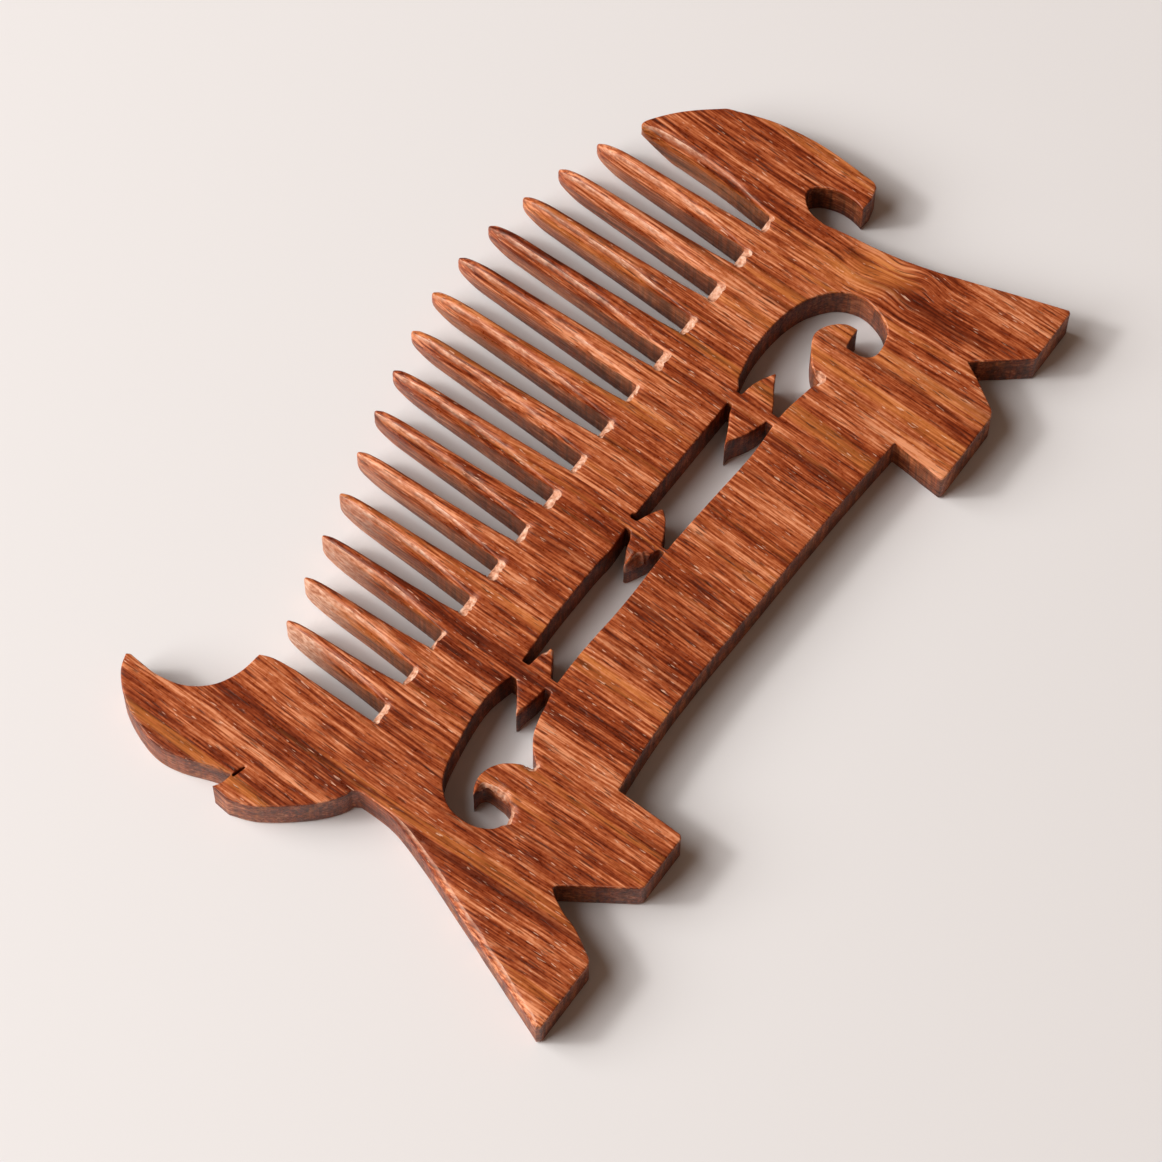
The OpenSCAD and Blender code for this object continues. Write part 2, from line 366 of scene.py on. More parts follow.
def calm(values, closed_runs):
    """Smooths values along each closed run of points, without raising any of them."""
    out = values.copy()
    for first, last in closed_runs:
        v = out[first:last]
        for _ in range(2):
            v = np.minimum(v, (np.roll(v, 1) + 2 * v + np.roll(v, -1)) / 4)
        out[first:last] = v
    return out


class Outline:
    """All closed outlines of the board, thinned out, with their owners and edge shapes."""

    def __init__(self):
        self.points, outline, self.borders, self.cuts, self.cut_owner = read_board()
        self.mark, self.runs = {}, []
        loops = [self.add_loop(loop, names) for loop, names in follow(outline)]
        self.xy, self.normal, self.owner, self.along = (np.concatenate(part) for part in zip(*loops))
        self.after = np.arange(len(self.xy)) + 1
        for first, last in self.runs:
            self.after[last - 1] = first
        self.before = np.argsort(self.after)
        self.room = room(self.xy, self.normal)

    def add_loop(self, loop, names):
        """One loop's points, inward normals, owners and places along it; notes where borders end."""
        fine, owner, marks = fine_loop(self.points, loop, names)
        smooth = self.rounded(fine, owner)
        ends = {v for e in self.borders for v in e}
        changes = {k: i for k, i in marks.items() if k in ends}
        kept = thin_out(smooth, sorted(set(changes.values())), self.needs_detail(smooth))
        base = self.runs[-1][1] if self.runs else 0
        where = {k: base + i for i, k in enumerate(kept)}
        self.mark.update({k: where[i] for k, i in changes.items()})
        ahead = np.roll(smooth, -2, 0) - np.roll(smooth, 2, 0)
        ahead /= np.maximum(np.hypot(ahead[:, 0], ahead[:, 1]), 1e-9)[:, None]
        arc = np.concatenate([[0], np.cumsum(np.hypot(*np.diff(smooth, axis=0).T))])
        along = arc[kept] + 1000 * len(self.runs)
        self.runs.append((base, base + len(kept)))
        return smooth[kept], np.c_[-ahead[kept, 1], ahead[kept, 0]], owner[kept], along

    @staticmethod
    def rounded(fine, owner):
        """Corners are a little round everywhere, and much rounder at the tips."""
        tip = ramp(tooth_taper(fine, owner), 0.78, 0.92)
        point = span("right_head")
        far = np.hypot(fine[:, 0] - point[0][0], fine[:, 1] - point[1][1])
        tip = np.maximum(tip, ramp(-far, -4.0, -1.5) * (owner == "right_head"))
        tip = tip[:, None]
        return lean(soften(fine, 0.16) * (1 - tip) + soften(fine, 0.6) * tip, owner)

    @staticmethod
    def needs_detail(p):
        """Where the outline keeps closer points: the slot ends and the chips."""
        detail = (p[:, 0] > RAIL_LOW[0] - 0.5) & (p[:, 0] < RAIL_HIGH[0] + 0.5)
        detail &= np.abs(p[:, 1] - SLOT_Y) < 0.5
        for at, reach, *_ in CHIPS:
            detail |= np.hypot(*(p - at).T) < reach
        return detail


def tapered(o):
    """How far along a tooth, or along the right head's tooth side, each outline point lies: 0 to 1."""
    u = tooth_taper(o.xy, o.owner)
    top = span("right_head")[1][1]
    inner = (o.owner == "right_head") & (o.normal[:, 0] > 0.6)
    share = np.clip((o.xy[:, 1] - SLOT_Y) / (top - SLOT_Y), 0, 1)
    return np.where(inner, share, u), np.isin(o.owner, TEETH) | inner


def rubbed_leg(o):
    """1 along the left leg, fading to 0 where it meets the rail."""
    return (o.owner == "left_leg") * ramp(-o.xy[:, 1], 2.0, 9.0)


def worn_edge(o):
    """The edge's inset, drop and flatness, the same above and below: fine, and fuller on the teeth."""
    wander = noise2(o.along * 0.35, 3.1, 0)
    inset = 0.22 + 0.06 * wander
    drop = 0.25 + 0.07 * wander
    u, on = tapered(o)
    start = ramp(u, 0.0, 0.12) * on
    left = ramp(o.normal[:, 0], -0.1, 0.6) * ramp(u, 0.03, 0.42)
    leg = rubbed_leg(o) * ramp(o.normal[:, 0], 0.5, 0.9)
    inset = inset + leg * (0.75 + 0.15 * wander)
    drop = drop + leg * (1.25 + 0.25 * wander)
    inset = inset + start * (0.20 + 0.12 * u + left * (0.50 + 0.12 * u))
    drop = drop + start * (0.50 + 0.55 * u + left * (1.10 + 0.70 * u))
    flat = 0.12 + 0.40 * start * left
    return inset, drop, flat


def slot_ramps(o, inset, drop, flat):
    """The ragged bevel filed down to each slot's end, on the upper face."""
    at_slot = (o.owner == "tooth_rail") & (np.abs(o.xy[:, 1] - SLOT_Y) < 0.6)
    facing = ramp(-o.normal[:, 1], 0.80, 0.985) * at_slot
    jag = noise2(o.xy[:, 0] * 1.9, 0.3, 1) + 0.6 * noise2(o.xy[:, 0] * 4.3, 9.3, 2)
    size = 1.25 + 0.55 * noise2(o.xy[:, 0] / 5.0, 4.4, 3)
    inset = inset + facing * (np.maximum(size, 0.6) + 0.40 * jag - inset)
    drop = drop + facing * (1.15 + 0.15 * jag - drop)
    flat = flat + facing * (0.85 - flat)
    return inset, drop, flat, facing


def add_chips(o, inset, drop, flat, raw):
    """The small tear-outs: the upper edge is deeper and flatter there, and its wood is bare."""
    rough = 1 + 0.7 * noise2(o.xy[:, 0] * 2.2, o.xy[:, 1] * 2.2, 3)
    rough = rough + 0.5 * noise2(o.xy[:, 0] * 5.3, o.xy[:, 1] * 5.3, 5)
    for at, reach, extra, depth, paleness in CHIPS:
        near = ramp(1 - np.hypot(*(o.xy - at).T) / reach, 0, 0.5)
        inset = inset + near * extra * rough
        drop = drop + near * depth * rough
        flat = flat + near * (0.8 - flat)
        raw = np.maximum(raw, paleness * near)
    return inset, drop, flat, raw


def edge_shapes(o):
    """Inset, drop and flatness of the worn edge at each outline point, above and below, and how
    bare its wood is above."""
    inset, drop, flat = worn_edge(o)
    u, on = tapered(o)
    tip = ramp(u, 0.55, 1.0) * on
    low_inset = np.where(on, np.minimum(inset, UNDER_INSET), inset)
    low_drop = np.where(on, np.minimum(drop, UNDER_DROP), drop)
    low_drop = low_drop + 0.5 * tip + 1.2 * tip * (o.owner == "right_head")
    below = {"inset": low_inset, "drop": low_drop, "flat": flat}
    inset, drop, flat, raw = add_chips(o, *slot_ramps(o, inset, drop, flat))
    above = {"inset": inset, "drop": drop, "flat": flat, "raw": np.maximum(raw, pale_tips(o))}
    most = o.room * (0.55 + 0.27 * ramp(o.room, 0.3, 1.0))
    for side in (above, below):
        side["inset"] = unfold(o, calm(np.minimum(side["inset"], most), o.runs))
        side["drop"] = np.minimum(side["drop"], np.where(on, 2.6 * side["inset"], 3.0))
    return above, below


def unfold(o, inset):
    """Shrinks the inset wherever the inner row of points would double back on itself."""
    inset = inset.copy()
    step = o.xy[o.after] - o.xy
    for _ in range(12):
        ring = o.xy + o.normal * inset[:, None]
        back = ((ring[o.after] - ring) * step).sum(1) < 0.12 * (step**2).sum(1)
        if not back.any():
            break
        near = back | back[o.before] | back[o.after]
        inset[near | near[o.before]] *= 0.75
    return inset


def pale_tips(o):
    """Bare wood at the left-hand side of the short teeth's tips."""
    pale = np.zeros(len(o.xy))
    u = tooth_taper(o.xy, o.owner)
    for k, name in enumerate(TEETH):
        at = (o.owner == name) & (o.normal[:, 0] > -0.2)
        strength = float(np.clip(1.15 - 0.24 * k, 0, 1))
        pale[at] = strength * ramp(u[at], 0.40, 0.85)
    return pale


def painted_highlight_crest(o):
    """A painted highlight: the bright, broken line along left-hand edges facing the light, strongest on
    the teeth.
    """
    facing = ramp(o.normal[:, 0], 0.3, 0.8)
    broken = ramp(noise2(o.along * 0.42, 7.7, 6), -0.40, 0.25)
    u, on = tapered(o)
    strength = np.where(on, ramp(u, 0.05, 0.30), 0.30)
    strength = np.where(o.owner == "left_leg", 0.70 * rubbed_leg(o), strength)
    return strength * facing * (0.40 + 0.60 * broken)


def bare_and_lit_side(o):
    """Paler walls: painted light on the left-hand sides of the teeth and of the right head; bare tips.
    """
    left = np.isin(o.owner, TEETH) & (o.normal[:, 0] > -0.2)
    left |= (o.owner == "right_head") & (o.normal[:, 0] > 0.5)
    return np.maximum(0.12 * left, pale_tips(o))


def dry_and_shaded_side(o):
    """Wall darkness, as dry sawn wood and painted shade: less on the left-hand sides, facing the light.
    """
    left = ramp(o.normal[:, 0], 0.1, 0.8)
    u, on = tapered(o)
    outer = np.char.startswith(o.owner.astype(str), "left_")
    return 1 - left * np.where(on, 0.65 * ramp(u, 0.10, 0.60), 0.30 * outer)


# -------- heights of the two faces
def tip_shape(k):
    """How blunt a tooth's tip is: 1 for the blunt short ones at the left, 0 for the slim ones."""
    return float(np.clip(1.15 - 0.16 * k, 0, 1))


def thinning(x, y, side):
    """How far a tooth's upper (side 1) or lower (side -1) face has been taken in from the board's."""
    out = np.zeros(len(x))
    for k, name in enumerate(TEETH):
        low, high = TOOTH[name]
        at = (x > low[0] - 0.2) & (x < high[0] + 0.2) & (y > SLOT_Y)
        long = high[1] - SLOT_Y
        v = y[at] - SLOT_Y
        blunt = tip_shape(k)
        slope = (0.8 - 0.35 * blunt) * ramp(v, 0.15 * long, long) * (1.0 if side > 0 else 0.35)
        end = (2.0 - 1.4 * blunt) * np.clip((v - long + 6.5) / 6.5, 0, 1) ** 2.2
        out[at] = slope + end
    return out


def face_height(x, y, side):
    """Height of the upper (side 1) or lower (side -1) face over the plan."""
    sink = 0.035 * (1 + noise2(x / 9.0, y / 14.0, 4)) + 0.012 * (1 + noise2(x / 2.6, y / 6.0, 5))
    sink = sink + thinning(x, y, side)
    if side > 0:
        return THICK - sink
    return sink + head_point(x, y)


def head_point(x, y):
    """The right head's underside rises towards its tip."""
    low, high = span("right_head")
    far = np.hypot(x - low[0], y - high[1])
    return 5.0 * np.clip(1 - far / 6.5, 0, 1) ** 1.3 * (x > low[0] - 1.5)


# -------- faces
def even_odd(p, a, b):
    """True for each point of p inside the closed outlines made of segments a to b."""
    inside = np.zeros(len(p), bool)
    for s in range(0, len(p), 800):
        q = p[s:s + 800]
        over = (a[None, :, 1] > q[:, None, 1]) != (b[None, :, 1] > q[:, None, 1])
        drop = np.where(np.abs(b[:, 1] - a[:, 1]) < 1e-12, 1e-12, b[:, 1] - a[:, 1])
        cross = a[:, 0] + (q[:, None, 1] - a[None, :, 1]) * ((b[:, 0] - a[:, 0]) / drop)[None]
        inside[s:s + 800] = (over & (cross > q[:, None, 0])).sum(1) % 2 == 1
    return inside


def chains(borders, mark):
    """Borders joined into runs from one outline point or junction to the next, one side only."""
    links = {}
    for (u, v), (mine, other) in borders.items():
        if mine < other:
            links[(u, v)] = (mine, other)
    degree = {}
    for u, v in links:
        degree[u] = degree.get(u, 0) + 1
        degree[v] = degree.get(v, 0) + 1
    stops = {k for k in degree if k in mark or degree[k] != 2}
    starts = {}
    for (u, v), names in links.items():
        starts.setdefault(u, []).append((v, names))
    out = []
    for u in sorted(stops & set(starts)):
        for v, names in starts[u]:
            run = [u, v]
            while run[-1] not in stops:
                run.append(next(w for w, m in starts[run[-1]] if m == names))
            out.append((run, names))
    return out


def crossing(p, q, a, b):
    """True for each segment a-b that the segment p-q crosses."""
    def side(u, v, w):
        run, to = v - u, w - u
        return run[..., 0] * to[..., 1] > run[..., 1] * to[..., 0]
    return (side(p, q, a) != side(p, q, b)) & (side(a, b, p) != side(a, b, q))


def clean(o, ring, i, other):
    """True if the straight line from ring point i to the border's next point stays inside the ring."""
    far = [o.mark[other]] if other in o.mark else []
    q = ring[far[0]] if far else o.points[other]
    hits = crossing(ring[i], q, ring, ring[o.after])
    for k in [i] + far:
        hits[[k, o.before[k]]] = False
    share = np.array([[0.03], [0.5], [0.97]])
    return not hits.any() and even_odd(ring[i] * (1 - share) + q * share, ring, ring[o.after]).all()


def slide(o, rings, mark, other):
    """Moves the outline point where a border ends until the border's last step stays inside."""
    start = o.mark[mark]
    low, high = next(run for run in o.runs if run[0] <= start < run[1])
    for s in sorted(range(-16, 17), key=abs):
        i = low + (start - low + s) % (high - low)
        if all(clean(o, ring, i, other) for ring in rings):
            break
    else:
        raise ValueError("a border has no clean end")
    edges = [low + (start - low + k) % (high - low) for k in range(min(s, 0) - 1, max(s, 0) + 1)]
    o.owner[edges[1:-1]] = o.owner[edges[0]] if s > 0 else o.owner[edges[-1]]
    o.mark[mark] = i


def settle(o, rings, chain_list):
    """Border runs without points that crowd the rings, and with clean ends."""
    out = []
    for run, names in chain_list:
        inner = []
        for k in run[1:-1]:
            gap = min(np.hypot(*(ring - o.points[k]).T).min() for ring in rings)
            inside = all(even_odd(o.points[k][None], ring, ring[o.after])[0] for ring in rings)
            if gap > LINE_CLEAR and inside:
                inner.append(k)
        out.append(([run[0]] + inner + [run[-1]], names))
    for run, _ in out:
        for end, beside in ((0, 1), (-1, -2)):
            if run[end] in o.mark:
                slide(o, rings, run[end], run[beside])
    return out


def inner_points(ring_a, ring_b, lines):
    """Points on a loose grid inside the rings, clear of the rings and of the border lines."""
    low, high = ring_a.min(0), ring_a.max(0)
    gx, gy = np.meshgrid(np.arange(low[0], high[0], GRID), np.arange(low[1], high[1], GRID * 0.9))
    gx[::2] += GRID / 2
    p = np.c_[gx.ravel(), gy.ravel()]
    p += 0.22 * np.c_[noise2(p[:, 0] * 1.7, p[:, 1] * 1.7, 6), noise2(p[:, 0] * 1.7, p[:, 1] * 1.7, 7)]
    p = p[even_odd(p, ring_a, ring_b)]
    stay = np.ones(len(p), bool)
    around = np.concatenate([ring_a, (ring_a + ring_b) / 2] + [lines] * (len(lines) > 0))
    for s in range(0, len(p), 500):
        d = p[s:s + 500, None] - around[None]
        stay[s:s + 500] = (d**2).sum(2).min(1) > GRID_CLEAR**2
    return p[stay]


def flood(triangles, walls):
    """Numbers the patches of triangles that the walls divide."""
    sides = {}
    for t, tri in enumerate(triangles):
        for i in range(3):
            e = (tri[i], tri[(i + 1) % 3])
            e = e if e[0] < e[1] else (e[1], e[0])
            if e not in walls:
                sides.setdefault(e, []).append(t)
    near = [[] for _ in triangles]
    for pair in sides.values():
        if len(pair) == 2:
            near[pair[0]].append(pair[1])
            near[pair[1]].append(pair[0])
    patch = np.full(len(triangles), -1)
    count = 0
    for t in range(len(triangles)):
        if patch[t] >= 0:
            continue
        patch[t], stack = count, [t]
        while stack:
            for other in near[stack.pop()]:
                if patch[other] < 0:
                    patch[other] = count
                    stack.append(other)
        count += 1
    return patch


class Face:
    """The upper or lower face: a triangulated sheet inside the edge's innermost row."""

    def __init__(self, o, shape, chain_list):
        self.ring = o.xy + o.normal * shape["inset"][:, None]
        self.count = len(self.ring)
        walls = {(min(i, j), max(i, j)) for i, j in enumerate(o.after)}
        points, self.lines = self.add_lines(o, chain_list, walls)
        line_points = np.array(points[self.count:]).reshape(-1, 2)
        points += list(inner_points(self.ring, self.ring[o.after], line_points))
        self.xy = np.array(points)
        self.tri, area, centre = self.triangles(o, walls)
        self.owner = self.owners(o, walls, area, centre)

    def add_lines(self, o, chain_list, walls):
        """The ring's points and the borders' points, and each border as a line of evenly spaced ones."""
        points, place_of, lines = list(self.ring), dict(o.mark), []
        for run, names in chain_list:
            for k in run:
                if k not in place_of:
                    place_of[k] = len(points)
                    points.append(o.points[k])
            line = [place_of[run[0]]]
            for a, b in zip(run, run[1:]):
                start, end = points[place_of[a]], points[place_of[b]]
                pieces = max(1, int(round(np.hypot(*(end - start)) / LINE_STEP)))
                for s in range(1, pieces):
                    line.append(len(points))
                    points.append(start + (end - start) * s / pieces)
                line.append(place_of[b])
            lines.append((line, names))
            walls.update((min(a, b), max(a, b)) for a, b in zip(line, line[1:]))
        return points, lines

    def triangles(self, o, walls):
        """The sheet's triangles, counter-clockwise, with their areas (doubled) and centres."""
        _, _, faces, origin, _, _ = delaunay_2d_cdt(
            [Vector(p) for p in self.xy], [tuple(w) for w in sorted(walls)], [], 0, 1e-7, True)
        if not all(origin):
            raise ValueError("a border crosses the outline")
        back = np.array([min(m) for m in origin])
        tri = back[np.array([list(f) for f in faces])]
        ab, ac = self.xy[tri[:, 1]] - self.xy[tri[:, 0]], self.xy[tri[:, 2]] - self.xy[tri[:, 0]]
        area = ab[:, 0] * ac[:, 1] - ac[:, 0] * ab[:, 1]
        tri[area < 0] = tri[area < 0][:, ::-1]
        centre = self.xy[tri].mean(1)
        keep = even_odd(centre, self.ring, self.ring[o.after])
        return tri[keep], np.abs(area[keep]), centre[keep]

    def owners(self, o, walls, area, centre):
        """The node of each triangle: one for each patch between borders, by the area it covers."""
        patch = flood([tuple(t) for t in self.tri], walls)
        cuts = {n: o.cuts[o.cut_owner == n] for n in sorted(nodes)}
        votes = {n: even_odd(centre, cut[:, 0], cut[:, 1]) for n, cut in cuts.items()}
        owner = np.empty(len(self.tri), dtype=object)
        for k in range(patch.max() + 1):
            at = patch == k
            owner[at] = max(votes, key=lambda n: (area[at] * votes[n][at]).sum())
        return owner


# -------- the whole surface, then the pieces
def profile(shape, rows):
    """Inset and drop of each row across a rounded edge, from the face to the wall."""
    angle = np.linspace(math.pi / 2, 0, rows + 1)
    t = np.linspace(1, 0, rows + 1)
    a, b, flat = shape["inset"][:, None], shape["drop"][:, None], shape["flat"][:, None]
    inset = a * ((1 - flat) * (1 - np.cos(angle)) + flat * t)
    drop = b * ((1 - flat) * (1 - np.sin(angle)) + flat * (1 - t))
    return inset, drop


def lengths(vectors):
    return np.linalg.norm(vectors, axis=1)


def zip_lines(top, low):
    """Triangles between two lines of points whose numbers of points may differ."""
    faces = []
    i = j = 0
    last_i, last_j = len(top) - 1, len(low) - 1
    while i < last_i or j < last_j:
        if j == last_j or (i < last_i and (i + 1) * last_j <= (j + 1) * last_i):
            faces.append([top[i], low[j], top[i + 1]])
            i += 1
        else:
            faces.append([low[j], low[j + 1], top[i]])
            j += 1
    return faces


class Surface:
    """Points, and faces with an owner, of the whole comb; rows of points run down each edge."""

    def __init__(self):
        o = self.o = Outline()
        self.above, self.below = edge_shapes(o)
        rings = [o.xy + o.normal * shape["inset"][:, None] for shape in (self.above, self.below)]
        chain_list = settle(o, rings, chains(o.borders, o.mark))
        self.top, self.low = Face(o, self.above, chain_list), Face(o, self.below, chain_list)
        self.count = count = len(o.xy)
        top_z = face_height(self.top.xy[:, 0], self.top.xy[:, 1], 1)
        low_z = face_height(self.low.xy[:, 0], self.low.xy[:, 1], -1)
        edge = self.edge_points(top_z[:count, None], low_z[:count, None])
        top_in = np.c_[self.top.xy[count:], top_z[count:]]
        low_in = np.c_[self.low.xy[count:], low_z[count:]]
        self.co = np.concatenate([edge, top_in, low_in])
        self.top_first = len(edge) - count
        self.low_first = len(edge) + len(top_in) - count
        self.faces, self.owner, self.wall, self.raw = [], [], [], []
        self.add_sheets()
        self.add_edges()
        self.normals = self.smooth_normals()

    def edge_points(self, top_z, low_z):
        """The rows of points down every edge: round, upright, round."""
        o = self.o
        inset_a, drop_a = profile(self.above, ROUND_ROWS)
        inset_b, drop_b = profile(self.below, ROUND_ROWS)
        # neither rounded edge may reach past the middle of a thinned tooth
        most = np.maximum(np.maximum(drop_a[:, -1:], drop_b[:, -1:]), 1e-6)
        squeeze = np.minimum(1, LIMIT * (top_z - low_z) / most)
        za = top_z - drop_a * squeeze
        zb = low_z + drop_b * squeeze
        share = np.linspace(0, 1, WALL_ROWS + 2)[None, 1:-1]
        zw = za[:, -1:] * (1 - share) + zb[:, -1:] * share
        z = np.concatenate([za, zw, zb[:, ::-1]], 1)
        wall_inset = 0.02 * (1 + noise2(o.along[:, None] * 1.3, zw * 0.25, 2))
        inset = np.concatenate([inset_a, wall_inset, inset_b[:, ::-1]], 1)
        xy = o.xy[:, None] + o.normal[:, None] * inset[:, :, None]
        return np.concatenate([xy, z[:, :, None]], 2).reshape(-1, 3)

    def top_id(self, i):
        return i * ROWS if i < self.count else self.top_first + i

    def low_id(self, i):
        return i * ROWS + ROWS - 1 if i < self.count else self.low_first + i

    def add_sheets(self):
        """The triangles of the two faces."""
        for sheet, number, turn in ((self.top, self.top_id, 1), (self.low, self.low_id, -1)):
            self.faces += [[number(i) for i in tri][::turn] for tri in sheet.tri]
            self.owner += list(sheet.owner)
        self.wall += [[0, 0, 0]] * len(self.faces)
        self.raw += [[0, 0, 0]] * len(self.faces)

    def add_edges(self):
        """The quads down the edges, with dry walls and painted shade, bare wood and painted light."""
        o = self.o
        # bare also carries painted light: paler left-hand walls, which face the light
        none, dry, bare = np.zeros(self.count), dry_and_shaded_side(o), bare_and_lit_side(o)
        # painted highlight: paler colour on the first rows of the upper rounding of the left-hand edges
        crest = painted_highlight_crest(o)
        upper = [np.maximum(self.above["raw"], crest * max(0, 1 - k / 2)) for k in range(ROUND_ROWS + 1)]
        rows = [(none, *upper[r:r + 2]) for r in range(ROUND_ROWS)]
        # wall rows: dry carries painted shade as well as dry sawn wood; bare also carries painted light
        rows += [(dry, bare, bare)] * (ROWS - 1 - 2 * ROUND_ROWS)
        rows += [(none, bare, bare)] * ROUND_ROWS
        for i, j in enumerate(o.after):
            for r, (wall, first, second) in enumerate(rows):
                a, b = i * ROWS + r, j * ROWS + r
                self.faces.append([a, a + 1, b + 1, b])
                self.owner.append(o.owner[i])
                self.wall.append([wall[i], wall[i], wall[j], wall[j]])
                self.raw.append([first[i], second[i], second[j], first[j]])

    def smooth_normals(self):
        """One normal per point from all the faces round it, weighted by their angles there."""
        total = np.zeros_like(self.co)
        tris = []
        for f in self.faces:
            tris.append(f[:3])
            if len(f) == 4:
                tris.append([f[0], f[2], f[3]])
        tris = np.array(tris)
        corners = [self.co[tris[:, k]] for k in range(3)]
        n = np.cross(corners[1] - corners[0], corners[2] - corners[0])
        unit = n / np.maximum(lengths(n), 1e-12)[:, None]
        for k in range(3):
            u, v = (corners[(k + s) % 3] - corners[k] for s in (1, 2))
            cosine = (u * v).sum(1) / np.maximum(lengths(u) * lengths(v), 1e-12)
            np.add.at(total, tris[:, k], unit * np.arccos(np.clip(cosine, -1, 1))[:, None])
        return total / np.maximum(lengths(total), 1e-12)[:, None]

    def border_faces(self):
        """Flat inner walls where two pieces meet: (node on the left, node on the right, faces)."""
        out = []
        for (top_line, names), (low_line, _) in zip(self.top.lines, self.low.lines):
            faces = zip_lines([self.top_id(i) for i in top_line], [self.low_id(i) for i in low_line])
            for end, step in ((top_line[0], 1), (top_line[-1], -1)):
                if end < self.count:
                    first = end * ROWS
                    pairs = [(first + r, first + r + 1)[::step] for r in range(1, ROWS - 1)]
                    faces += [[first, a, b] for a, b in pairs]
            out.append((*names, faces))
        return out


def patch_at(co, at, wide, long):
    """1 at a place, fading to 0, leaning with the right leg."""
    d = co[:, :2] - at
    return np.exp(-((d[:, 0] + 0.12 * d[:, 1]) / wide) ** 2 - (d[:, 1] / long) ** 2)


def grain_coordinates(co):
    """Where each point lies in the tree, in millimetres, and the light and dark patches by the knot."""
    knot = place("right_leg", 0.54, 0.60)
    out = co.copy()
    d = co[:, :2] - knot
    pull = np.exp(-(d[:, 0] / 6.0) ** 2 - (d[:, 1] / 8.0) ** 2)
    wave = noise2(co[:, 0] / 5.0, co[:, 1] / 5.0, 2)
    sway = 1.3 * noise2(co[:, 0] / 30, co[:, 1] / 38, 1)
    out[:, 0] += pull * (0.7 * np.sin(d[:, 1] / 4.0) + 1.1 * wave) + sway
    out[:, 1] += 7 * pull * np.tanh(d[:, 0] / 4.0)
    light = patch_at(co, knot, 2.3, 4.2) + 0.6 * patch_at(co, place("right_leg", 0.30, 0.70), 2.0, 6.0)
    dark = patch_at(co, place("right_leg", 0.66, 0.44), 1.5, 7.0)
    dark = dark + patch_at(co, place("right_leg", 0.36, 0.36), 1.8, 7.0)
    return out, light - 0.8 * dark


def add_object(name, data):
    ob = bpy.data.objects.new(name, data)
    bpy.context.scene.collection.objects.link(ob)
    return ob


def set_inputs(node, values):
    for key, value in values.items():
        node.inputs[key].default_value = value


def add_values(me, name, domain, values):
    """A mesh attribute: one number or one vector for each point or face corner."""
    kind, key = ("FLOAT_VECTOR", "vector") if np.ndim(values) == 2 else ("FLOAT", "value")
    layer = me.attributes.new(name, kind, domain)
    layer.data.foreach_set(key, np.array(values, np.float32).ravel())


def set_normals(me, outer, smooth):
    """The comb's smooth normals on the outer faces, and flat ones on the inner walls."""
    normals = []
    for poly in me.polygons:
        poly.use_smooth = poly.index < outer
        normals += [smooth[v] if poly.index < outer else poly.normal for v in poly.vertices]
    me.normals_split_custom_set([tuple(n) for n in normals])


def build_piece(surface, name, inner, grain, knot):
    """One closed mesh for one node."""
    mine = [k for k, owner in enumerate(surface.owner) if owner == name]
    faces = [surface.faces[k] for k in mine]
    for left, right, walls in inner:
        if left == name:
            faces += walls
        elif right == name:
            faces += [w[::-1] for w in walls]
    plain = [0.0] * (3 * (len(faces) - len(mine)))
    used = sorted({i for f in faces for i in f})
    number = {k: i for i, k in enumerate(used)}
    me = bpy.data.meshes.new(name + "_wood")
    me.from_pydata((surface.co[used] * MM).tolist(), [], [[number[i] for i in f] for f in faces])
    # raw: bare wood, and also painted light on left-hand walls and a painted highlight on their edges
    add_values(me, "raw", "CORNER", [v for k in mine for v in surface.raw[k]] + plain)
    # wall: the sawn walls, whose values also carry painted shade
    add_values(me, "wall", "CORNER", [v for k in mine for v in surface.wall[k]] + plain)
    add_values(me, "grain", "POINT", grain[used])
    add_values(me, "knot", "POINT", knot[used])
    set_normals(me, len(mine), surface.normals[used])
    return add_object(name + "_wood", me)


